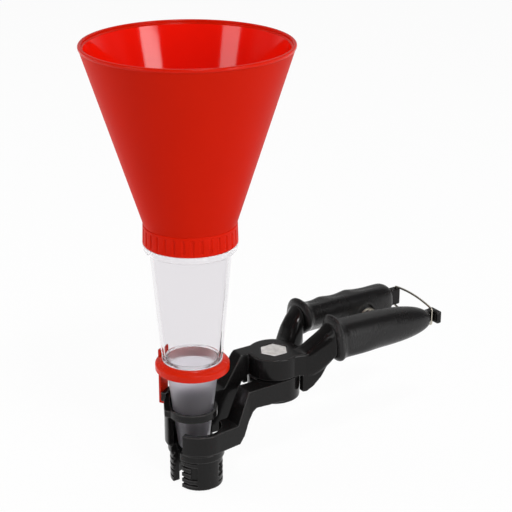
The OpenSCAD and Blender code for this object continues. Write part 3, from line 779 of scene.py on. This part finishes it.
def collar_groove_tree() -> NodeTree:
    """Builds the tree that presses round-topped grip grooves into a collar.

    Returns:
        The geometry tree.
    """
    sheet, source, target = geometry_tree("collar_grooves", [
        "Groove Count", "Groove Width", "Groove Depth", "Groove Top", "Groove Foot", "Inner Radius",
        "Cone Foot"])
    size = source.outputs
    calc = sheet.math
    position = sheet.add("GeometryNodeInputPosition").outputs["Position"]
    parts = sheet.add("ShaderNodeSeparateXYZ")
    sheet.join(position, parts.inputs[0])
    x, y, z = parts.outputs
    radius = sheet.length(x, y)
    turn = calc("DIVIDE", calc("ARCTAN2", y, x), 2 * math.pi)
    phase = calc("FRACT", calc("ADD", calc("MULTIPLY", turn, size["Groove Count"]), WHOLE_TURNS))
    offset = calc("ABSOLUTE", calc("SUBTRACT", phase, 0.5))
    pitch = calc("DIVIDE", calc("MULTIPLY", radius, 2 * math.pi), size["Groove Count"])
    across = calc("MULTIPLY", offset, pitch)
    above = calc("MAXIMUM", calc("SUBTRACT", z, size["Groove Top"]), 0.0)
    under = calc("MAXIMUM", calc("SUBTRACT", size["Groove Foot"], z), 0.0)
    past = calc("ADD", above, under)
    half = calc("MULTIPLY", size["Groove Width"], 0.5)
    dip = sheet.ramp(calc("DIVIDE", sheet.length(across, past), half), *GROOVE_BAND)
    outside = calc("GREATER_THAN", radius, size["Inner Radius"])
    below = calc("LESS_THAN", z, size["Cone Foot"])
    depth = calc("MULTIPLY", dip, size["Groove Depth"])
    depth = calc("MULTIPLY", depth, calc("MULTIPLY", outside, below))
    shrink = calc("DIVIDE", calc("SUBTRACT", radius, depth), radius)
    moved = sheet.add("ShaderNodeCombineXYZ")
    sheet.put(moved.inputs[0], calc("MULTIPLY", x, shrink))
    sheet.put(moved.inputs[1], calc("MULTIPLY", y, shrink))
    sheet.put(moved.inputs[2], z)
    place = sheet.add("GeometryNodeSetPosition")
    sheet.join(size["Geometry"], place.inputs["Geometry"])
    sheet.join(moved.outputs[0], place.inputs["Position"])
    finish_tree(sheet, place.outputs["Geometry"], size["Finish"], target)
    return sheet.tree


def finish_tree(sheet: NodeSheet, shape: NodeSocket, finish: NodeSocket, target: Node) -> None:
    """Ends a geometry tree in plain geometry with its material.

    Args:
        sheet: the tree's sheet.
        shape: the finished geometry.
        finish: the material input.
        target: the tree's output node.
    """
    real = sheet.add("GeometryNodeRealizeInstances")
    sheet.join(shape, real.inputs["Geometry"])
    paint = sheet.add("GeometryNodeSetMaterial")
    sheet.join(real.outputs["Geometry"], paint.inputs["Geometry"])
    sheet.join(finish, paint.inputs["Material"])
    sheet.join(paint.outputs["Geometry"], target.inputs["Geometry"])


def round_wire_tree() -> NodeTree:
    """Builds the tree that sweeps a round wire along a curve.

    Returns:
        The geometry tree.
    """
    sheet, source, target = geometry_tree("round_wire", ["Wire Radius", "Sides"])
    profile = sheet.add("GeometryNodeCurvePrimitiveCircle", mode="RADIUS")
    sheet.join(source.outputs["Wire Radius"], profile.inputs["Radius"])
    sheet.join(source.outputs["Sides"], profile.inputs["Resolution"])
    sweep = sheet.add("GeometryNodeCurveToMesh")
    sheet.join(source.outputs["Geometry"], sweep.inputs["Curve"])
    sheet.join(profile.outputs["Curve"], sweep.inputs["Profile Curve"])
    sweep.inputs["Fill Caps"].default_value = True
    smooth = sheet.add("GeometryNodeSetShadeSmooth")
    sheet.join(sweep.outputs["Mesh"], smooth.inputs["Geometry"])
    finish_tree(sheet, smooth.outputs["Geometry"], source.outputs["Finish"], target)
    return sheet.tree


def swept_wire(name: str, points: list[Spot], tree: NodeTree, radius: float, sides: float,
               finish: Material) -> Object:
    """Sweeps a round wire along a route.

    Args:
        name: the object's name.
        points: the route, in millimetres.
        tree: the geometry tree that sweeps a wire.
        radius: the wire's radius, in millimetres.
        sides: sides of its section.
        finish: its material.

    Returns:
        The wire's object.
    """
    curve = bpy.data.curves.new(name, "CURVE")
    curve.dimensions = "3D"
    spline = curve.splines.new("POLY")
    spline.points.add(len(points) - 1)
    for spot, point in zip(spline.points, points):
        spot.co = (*(v * MM for v in point), 1.0)
    return apply_tree(linked(name, curve), tree, Wire_Radius=radius * MM, Sides=sides, Finish=finish)


def bent_route(corners: list[Spot], radius: float, steps: int = 6) -> list[Spot]:
    """Rounds the corners of an open route of wire.

    Args:
        corners: the route's ends and corners.
        radius: how far from a corner its bend starts.
        steps: parts of each bend.

    Returns:
        The bent route.
    """
    route = [corners[0]]
    for before, here, after in zip(corners, corners[1:], corners[2:]):
        spot = Vector(here)
        route += bend(spot, Vector(before) - spot, Vector(after) - spot, radius, steps)
    return [*route, corners[-1]]


@dataclass
class Assembly:
    """One sub-assembly, with the finishes that it is dressed in."""

    finishes: Finishes


@dataclass
class Spout(Assembly):
    """The clear spout with its neck, flange, upper cone, step and lower cone."""

    neck_r: float = 29.2
    neck_h: float = 10.0
    flange_r: float = 32.2
    flange_h: float = 5.0
    upper_top_r: float = 27.8
    upper_foot_r: float = 21.1
    upper_h: float = 78.8
    lower_top_r: float = 19.0
    outlet_r: float = 10.9
    outlet_lip: float = 0.8
    lip_slope: float = 1.5
    step_z: float = 66.0
    step_edge: float = 0.01
    floor_share: float = 0.6
    bore_drop: float = 2.0
    outlet_z: float = -1.2
    wall: float = 2.2
    ridge_count: int = 5
    ridge_pitch: float = 1.35
    ridge_h: float = 0.45
    ridge_drop: float = 1.0
    ridge_share: float = 0.75
    ridge_form: tuple[Point, ...] = ((0.0, 0.0), (0.35, 1.0), (0.65, 1.0), (1.0, 0.0))
    flange_rise: float = 2.5
    flange_form: tuple[Point, ...] = ((1.7, 0.0), (0.6, 0.7), (0.0, 2.0))
    lower_share: float = 0.8
    haze_rise: float = 0.6
    haze_drop: float = 6.0
    corner_r: float = 0.7
    segments: int = 160

    @property
    def upper_top_z(self) -> float:
        """Height of the top of the upper cone."""
        return self.step_z + self.upper_h

    @property
    def flange_z(self) -> float:
        """Height of the foot of the flange."""
        return self.upper_top_z + self.flange_rise

    @property
    def neck_top_z(self) -> float:
        """Height of the top of the neck."""
        return self.flange_z + self.flange_h + self.neck_h

    def outline(self) -> list[Point]:
        """Gives the spout's section, outer side first.

        Returns:
            Radius and height of its corners.
        """
        low = self.wall * self.lower_share
        foot = self.outlet_z
        step = self.step_z
        seat = self.flange_z + self.flange_h
        bore = self.neck_r - self.wall
        return [
            (self.outlet_r - low, foot), (self.outlet_r - self.outlet_lip, foot),
            (self.outlet_r, foot + self.lip_slope * self.outlet_lip),
            (self.lower_top_r, step - self.step_edge), (self.lower_top_r, step),
            (self.upper_foot_r, step), (self.upper_top_r, self.upper_top_z),
            *((self.flange_r - inset, self.flange_z + rise) for inset, rise in self.flange_form),
            (self.flange_r, seat), (self.neck_r, seat), (self.neck_r, self.neck_top_z),
            (bore, self.neck_top_z), (bore, self.flange_z),
            (self.upper_top_r - self.wall, self.upper_top_z - self.bore_drop),
            (self.upper_foot_r - self.wall, step + self.wall),
            (self.lower_top_r - low, step + self.wall * self.floor_share),
            *self.ridges(self.lower_top_r - low, self.outlet_r - low)]

    def ridges(self, top_r: float, foot_r: float) -> list[Point]:
        """Gives the fine rings inside the lower cone, just under the step.

        Args:
            top_r: inside radius of the lower cone at the step.
            foot_r: inside radius at the outlet.

        Returns:
            Radius and height of their corners, downwards.
        """
        lean = (top_r - foot_r) / (self.step_z - self.outlet_z)
        points = []
        for i in range(self.ridge_count):
            for down, stand in self.ridge_form:
                z = self.step_z - self.ridge_drop - self.ridge_pitch * (i + self.ridge_share * down)
                points.append((top_r - lean * (self.step_z - z) - self.ridge_h * stand, z))
        return points

    def paint(self, mesh: Mesh) -> None:
        """Leaves the upper wall clear, and makes the step hazy, the foot frosted with a darker tint that
        is painted shade of the black clamp behind it, and the flange dense.

        Args:
            mesh: the spout's mesh.
        """
        looks = self.finishes
        order = [looks.clear, looks.hazy, looks.frosted, looks.flange]
        for look in order:
            mesh.materials.append(look)
        for face in mesh.polygons:
            z = face.center.z / MM
            look = looks.clear
            if z < self.step_z - self.haze_drop:
                look = looks.frosted
            elif z < self.step_z + self.haze_rise:
                look = looks.hazy
            elif z > self.flange_z:
                look = looks.flange
            face.material_index = order.index(look)

    def build(self) -> None:
        """Makes and dresses the spout."""
        piece = lathe("spout_clear", rounded(self.outline(), self.corner_r), self.segments)
        self.paint(piece.data)
        settle(piece, Body.SPOUT, Slot.CLEAR_SPOUT, "spout")


@dataclass
class Hopper(Assembly):
    """The red cone with its bead and its grooved screw collar."""

    rim_r: float = 70.0
    bead_w: float = 2.4
    bead_h: float = 2.6
    ledge_w: float = 1.0
    ledge_drop: float = 0.9
    wall: float = 2.2
    collar_r: float = 32.3
    collar_bore_r: float = 29.4
    collar_z: float = 152.5
    collar_h: float = 13.5
    cone_h: float = 122.0
    seat_r: float = 27.0
    seat_z: float = 162.5
    throat_drop: float = 0.5
    inside_rise: float = 1.0
    edge_w: float = 0.4
    edge_h: float = 0.2
    collar_edge: float = 0.1
    groove_count: int = 32
    groove_w: float = 2.0
    groove_deep: float = 0.6
    groove_foot: float = 2.4
    groove_top: float = 2.6
    groove_end: float = 0.3
    groove_steps: int = 18
    skin: float = 0.8
    cone_inset: float = 0.9
    corner_r: float = 0.8
    corner_steps: int = 6
    row_h: float = 0.35
    row_foot: float = 1.0
    row_top: float = 0.5
    rim_outside: float = 0.8
    rim_inside: float = 1.1
    bead: tuple[Point, ...] = (
        (0.27, 1.0), (0.0, 0.75), (0.0, 0.25), (0.25, 0.0), (0.75, 0.0), (1.0, 0.25), (1.0, 0.8))

    @property
    def cone_z(self) -> float:
        """Height of the foot of the cone."""
        return self.collar_z + self.collar_h

    @property
    def rim_z(self) -> float:
        """Height of the mouth."""
        return self.cone_z + self.cone_h

    def outline(self) -> list[Point]:
        """Gives the hopper's section, outer side first.

        Returns:
            Radius and height of its corners.
        """
        return [
            (self.collar_bore_r, self.collar_z), (self.collar_r, self.collar_z),
            (self.collar_r - self.edge_w, self.cone_z - self.edge_h),
            (self.collar_r - self.cone_inset, self.cone_z),
            *((self.rim_r - self.bead_w * inset, self.rim_z - self.bead_h * drop)
              for inset, drop in self.bead),
            (self.rim_r - self.bead_w - self.ledge_w, self.rim_z - self.bead_h * self.ledge_drop),
            (self.collar_r - self.cone_inset - self.wall, self.cone_z + self.inside_rise),
            (self.seat_r, self.cone_z - self.throat_drop), (self.seat_r, self.seat_z),
            (self.collar_bore_r, self.seat_z)]

    def paint(self, mesh: Mesh) -> None:
        """Gives the outside, the inside, the collar and the rim their own finish; the inside's brighter
        red is painted light, the glow of light through the wall and bounced between the inner walls.

        Args:
            mesh: the hopper's mesh.
        """
        mesh.materials.clear()
        looks = self.finishes
        order = [looks.hopper_outside, looks.hopper_inside, looks.collar, looks.rim]
        for look in order:
            mesh.materials.append(look)
        for face in mesh.polygons:
            spot = face.center
            inwards = face.normal.x * spot.x + face.normal.y * spot.y <= 0
            look = looks.hopper_inside if inwards else looks.hopper_outside
            rim_drop = self.rim_inside if inwards else self.rim_outside
            if spot.z < (self.cone_z - self.collar_edge) * MM:
                look = looks.collar
            elif spot.z > (self.rim_z - rim_drop * self.bead_h) * MM:
                look = looks.rim
            face.material_index = order.index(look)

    def build(self) -> None:
        """Makes and dresses the hopper."""
        outline = rounded(self.outline(), self.corner_r, self.corner_steps)
        foot = self.collar_z + self.row_foot
        outline = densified(outline, foot, self.cone_z - self.row_top, self.row_h)
        piece = lathe("hopper_red", outline, self.groove_count * self.groove_steps)
        piece = apply_tree(
            piece, collar_groove_tree(),
            Groove_Count=float(self.groove_count), Groove_Width=self.groove_w * MM,
            Groove_Depth=self.groove_deep * MM, Groove_Top=(self.cone_z - self.groove_top) * MM,
            Groove_Foot=(self.collar_z + self.groove_foot) * MM,
            Inner_Radius=(self.collar_bore_r + self.skin) * MM,
            Cone_Foot=(self.cone_z + self.groove_end) * MM,
            Finish=self.finishes.hopper_outside)
        self.paint(piece.data)
        piece.data.shade_smooth()
        settle(piece, Body.HOPPER, Slot.RED_HOPPER, "hopper")


@dataclass
class LockRing(Assembly):
    """The red ring on the clamp and the clip that hooks under its catch."""

    voxel: float = 0.20
    ring_passes: int = 5
    clip_passes: int = 4
    ring_share: float = 0.4
    clip_share: float = 0.5

    def build(self) -> None:
        """Makes and dresses the ring and its clip."""
        for node, name, body, passes, share in (
                ("lock_ring", "ring_red", Body.NEAR_SIDE, self.ring_passes, self.ring_share),
                ("lock_clip", "clip_red", Body.CLIP, self.clip_passes, self.clip_share)):
            piece = softened(node, name, self.finishes.ring, self.voxel, passes, share)
            settle(piece, body, Slot.RED_RING, node)


@dataclass
class Clamp(Assembly):
    """The two moulded levers with their jaws, and the grips on their handles."""

    lever_voxel: float = 0.38
    lever_passes: int = 100
    lever_share: float = 0.4
    grip_voxel: float = 0.6
    grip_passes: int = 26
    grip_share: float = 0.6
    tip_top_z: float = -0.4
    tip_soft: float = 0.02
    arm_soft: float = 0.10
    disc_soft: float = 0.40
    root_soft: float = 0.80
    pivot_x: float = 68.0
    slit_z: float = 38.0
    disc_top_z: float = 55.0
    edge_h: float = 5.0
    edge_reach: float = 26.0
    bolt_clear: Point = (13.0, 15.0)
    root_x: tuple[float, ...] = (74.0, 84.0, 186.0, 190.0)
    root_rise: float = 8.0

    def softness(self, spots: np.ndarray) -> np.ndarray:
        """Gives how soft a lever's edges are: crisp at the tips, round at the disc's top and the root.

        Args:
            spots: points in millimetres.

        Returns:
            The share of smoothing at each point.
        """
        x, y, z = spots.T
        above = np.clip(z - self.tip_top_z + 1.0, 0.0, 1.0)
        soft = self.tip_soft + (self.arm_soft - self.tip_soft) * above
        off_bolt = np.interp(np.hypot(x - self.pivot_x, y), self.bolt_clear, [0.0, 1.0])
        high = np.clip(z - self.disc_top_z + self.edge_h, 0.0, 1.0)
        edge = off_bolt * high * (x > self.pivot_x - self.edge_reach)
        root = np.interp(x, self.root_x, [0.0, 1.0, 1.0, 0.0])
        root = root * np.clip((z - self.slit_z) / self.root_rise, 0.0, 1.0)
        soft = np.maximum(soft, self.disc_soft * edge)
        return np.maximum(soft, self.root_soft * root)

    def build(self) -> None:
        """Makes and dresses the levers and grips."""
        for side, body in (("near", Body.NEAR_SIDE), ("far", Body.FAR_SIDE)):
            node = f"{side}_lever"
            lever = softened(
                node, f"{node}_black", self.finishes.lever, self.lever_voxel, self.lever_passes,
                self.lever_share, self.softness)
            settle(lever, body, Slot.BLACK_LEVER, node)
            node = f"{side}_grip"
            grip = softened(
                node, f"{node}_black", self.finishes.grip, self.grip_voxel, self.grip_passes,
                self.grip_share)
            settle(grip, body, Slot.BLACK_GRIP, node)


@dataclass
class Pivot(Assembly):
    """The hex bolt through both discs and its nut."""

    voxel: float = 0.3
    passes: int = 5
    share: float = 0.5

    def build(self) -> None:
        """Makes and dresses the bolt and nut."""
        for node in ("pivot_bolt", "pivot_nut"):
            piece = softened(
                node, f"{node}_steel", self.finishes.bolt, self.voxel, self.passes, self.share)
            settle(piece, Body.NEAR_SIDE, Slot.BOLT_STEEL, node)


@dataclass
class HandleSpring(Assembly):
    """The coil spring between the grips."""

    at_x: float = 160.0
    at_z: float = 56.0
    wind_r: float = 5.6
    wire_r: float = 0.8
    half: float = 14.89
    end_gap: float = 0.1
    coil_gap: float = 0.3
    turns: int = 6
    steps: int = 24
    sides: float = 12.0

    def route(self) -> list[Spot]:
        """Gives the wire's route from the near pocket to the far one.

        Returns:
            Points in millimetres.
        """
        start = (self.at_x + self.wind_r, -self.half + self.end_gap, self.at_z)
        run = 2 * (self.half - 3 * self.wire_r - self.coil_gap)
        coil = []
        for i in range(self.turns * self.steps + 1):
            angle = 2 * math.pi * i / self.steps
            coil.append((
                self.at_x + self.wind_r * math.cos(angle),
                -run / 2 + run * i / (self.turns * self.steps),
                self.at_z + self.wind_r * math.sin(angle)))
        return [start, *coil, (self.at_x + self.wind_r, self.half - self.end_gap, self.at_z)]

    def build(self, tree: NodeTree) -> None:
        """Makes the spring between the handles.

        Args:
            tree: the geometry tree that sweeps a wire.
        """
        piece = swept_wire(
            "handle_spring_wire", self.route(), tree, self.wire_r, self.sides, self.finishes.wire)
        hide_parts("handle_spring")
        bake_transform(piece)
        LOG.info("%s stretches between the handles", piece.name)


@dataclass
class Bail(Assembly):
    """The wire loop that holds the handles squeezed."""

    post_x: float = 195.295
    post_y: float = 21.5
    bar_x: float = 193.5
    bar_y: float = -25.0
    top_z: float = 67.6
    foot_z: float = 52.4
    bar_top_z: float = 65.7
    bar_foot_z: float = 53.5
    wire_r: float = 0.8
    stub: float = 4.8
    bow: float = 2.4
    bend: float = 1.4
    steps: int = 12
    sides: float = 14.0

    def run(self, post_z: float, bar_z: float, bow: float) -> list[Spot]:
        """Gives one bowed run of the wire.

        Args:
            post_z: height at the post.
            bar_z: height at the bar.
            bow: how far its middle stands up.

        Returns:
            Points in millimetres, from the post to the bar.
        """
        points = []
        for i in range(self.steps + 1):
            t = i / self.steps
            points.append((
                self.post_x + (self.bar_x - self.post_x) * t,
                self.post_y + (self.bar_y - self.post_y) * t,
                post_z + (bar_z - post_z) * t + 4 * bow * t * (1 - t)))
        return points

    def corners(self) -> list[Spot]:
        """Gives the wire's ends, runs and corners.

        Returns:
            Points in millimetres.
        """
        top = self.run(self.top_z, self.bar_top_z, self.bow)
        foot = self.run(self.foot_z, self.bar_foot_z, -self.bow)
        return [
            (self.post_x, self.post_y, self.top_z - self.stub), *top, *reversed(foot),
            (self.post_x, self.post_y, self.foot_z + self.stub)]

    def build(self, tree: NodeTree) -> None:
        """Makes and dresses the bail.

        Args:
            tree: the geometry tree that sweeps a wire.
        """
        route = bent_route(self.corners(), self.bend)
        piece = swept_wire("bail_wire", route, tree, self.wire_r, self.sides, self.finishes.wire)
        settle(piece, Body.BAIL, Slot.WIRE_STEEL, "bail")


@dataclass
class Studio:
    """White floor, soft boxes, dim room and camera; the floor's edge and the sight are in metres."""

    floor_z: float = -30.0
    eye: Spot = (-467.3, -793.3, 503.6)
    look: Spot = (0.5101, 0.7783, -0.3661)
    roll_deg: float = 0.094
    lens: float = 103.08
    sensor: float = 36.0
    sight: float = 50.0
    target: Spot = (20.0, 0.0, 150.0)
    screen_edge: Point = (0.25, 0.75)
    screen_level: float = 0.5
    floor_edge: float = 12.0
    floor_colour: Colour = (0.85, 0.85, 0.85)
    floor_glow: float = 0.95
    room_light: float = 0.17
    gloss_dim: float = 0.14

    def build_floor(self) -> None:
        """Lays a pale floor that stays white to the camera and keeps a soft shadow."""
        mesh = bpy.data.meshes.new("studio_floor")
        edge = self.floor_edge
        level = self.floor_z * MM
        corners = [(-edge, -edge, level), (edge, -edge, level), (edge, edge, level), (-edge, edge, level)]
        mesh.from_pydata(corners, [], [(0, 1, 2, 3)])
        floor = linked("studio_floor", mesh)
        material = bpy.data.materials.new("white_floor")
        sheet = empty_sheet(material)
        ray = sheet.add("ShaderNodeLightPath").outputs
        seen = sheet.math("MAXIMUM", ray["Is Camera Ray"], ray["Is Transmission Ray"])
        seen = sheet.math("MAXIMUM", seen, ray["Is Glossy Ray"])
        paint = sheet.add("ShaderNodeBsdfDiffuse")
        paint.inputs["Color"].default_value = (*self.floor_colour, 1.0)
        glow = sheet.add("ShaderNodeEmission")
        share = sheet.math("MULTIPLY", seen, self.floor_glow)
        sheet.end_mix("ShaderNodeOutputMaterial", share, paint, glow)
        mesh.materials.append(material)

    def build_room(self) -> None:
        """Fills the room with dim even light and sets a pale screen behind the part."""
        world = bpy.data.worlds.new("studio_room")
        bpy.context.scene.world = world
        sheet = empty_sheet(world)
        ray = sheet.add("ShaderNodeLightPath").outputs
        toward = sheet.add("ShaderNodeVectorMath", operation="DOT_PRODUCT")
        sheet.join(sheet.add("ShaderNodeTexCoord").outputs["Generated"], toward.inputs[0])
        toward.inputs[1].default_value = Vector((self.look[0], self.look[1], 0.0)).normalized()
        screen = sheet.ramp(toward.outputs["Value"], *self.screen_edge, self.screen_level)
        shown = sheet.math("MULTIPLY", ray["Is Glossy Ray"], screen)
        seen = sheet.math("MAXIMUM", ray["Is Camera Ray"], ray["Is Transmission Ray"])
        seen = sheet.math("MAXIMUM", seen, shown)
        dim = sheet.add("ShaderNodeBackground")
        dim.inputs["Color"].default_value = (1.0, 1.0, 1.0, 1.0)
        darker = sheet.math("MULTIPLY", ray["Is Glossy Ray"], self.gloss_dim)
        sheet.put(dim.inputs["Strength"], sheet.math("SUBTRACT", self.room_light, darker))
        white = sheet.add("ShaderNodeBackground")
        sheet.end_mix("ShaderNodeOutputWorld", seen, dim, white)

    def soft_box(self, name: str, turn: float, rise: float, reach: float, width: float, height: float,
                 power: float, gloss: bool = True) -> None:
        """Hangs one soft box round the part.

        Args:
            name: the lamp's name.
            turn: degrees to the camera's right, seen from the part.
            rise: degrees above the horizon.
            reach: distance from the part, in metres.
            width: width of the box, in metres.
            height: height of the box, in metres.
            power: its power, in watts.
            gloss: whether it shows in glossy surfaces.
        """
        light = bpy.data.lights.new(name, "AREA")
        light.shape = "RECTANGLE"
        light.size = width
        light.size_y = height
        light.energy = power
        lamp = linked(name, light)
        lamp.visible_camera = False
        lamp.visible_glossy = gloss
        back = math.atan2(-self.look[1], -self.look[0]) + math.radians(turn)
        lift = math.radians(rise)
        aim = Vector(self.target) * MM
        away = Vector((math.cos(back) * math.cos(lift), math.sin(back) * math.cos(lift), math.sin(lift)))
        lamp.location = aim + away * reach
        lamp.rotation_euler = (-away).to_track_quat("-Z", "Y").to_euler()

    def build_lights(self) -> None:
        """Hangs two tall boxes beside the camera, a high key, two side boxes and a weak back light."""
        self.soft_box("box_right", 49.5, 10.0, 1.5, 0.58, 1.1, 11.0)
        self.soft_box("box_left", -53.0, 10.0, 1.5, 0.55, 1.1, 5.6)
        self.soft_box("box_key", 20.0, 58.0, 1.5, 0.22, 0.18, 10.0)
        self.soft_box("box_side_right", 105.0, 12.0, 1.4, 0.9, 1.2, 6.5, False)
        self.soft_box("box_side_left", -105.0, 12.0, 1.4, 0.9, 1.2, 12.0, False)
        self.soft_box("box_back", 165.0, 55.0, 1.6, 1.2, 1.0, 3.0)

    def build_camera(self) -> None:
        """Sets the camera at the photograph's viewpoint."""
        data = bpy.data.cameras.new("view")
        data.sensor_width = self.sensor
        data.lens = self.lens
        data.clip_end = self.sight
        camera = linked("view", data)
        turn = Vector(self.look).to_track_quat("-Z", "Y").to_matrix().to_4x4()
        roll = Matrix.Rotation(math.radians(self.roll_deg), 4, "Z")
        camera.matrix_world = Matrix.Translation(Vector(self.eye) * MM) @ turn @ roll
        bpy.context.scene.camera = camera

    def build(self) -> None:
        """Builds the whole studio."""
        self.build_camera()
        self.build_floor()
        self.build_room()
        self.build_lights()
        bpy.context.scene.view_settings.view_transform = "Standard"


def main() -> None:
    """Builds the studio and every sub-assembly."""
    logging.basicConfig(level=logging.INFO, format="%(name)s: %(message)s")
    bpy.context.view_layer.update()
    Studio().build()
    finishes = Finishes()
    wire = round_wire_tree()
    for assembly in (Hopper, Spout, LockRing, Clamp, Pivot):
        assembly(finishes).build()
    HandleSpring(finishes).build(wire)
    Bail(finishes).build(wire)
    LOG.info("boxes written")


if __name__ == "__main__":
    main()
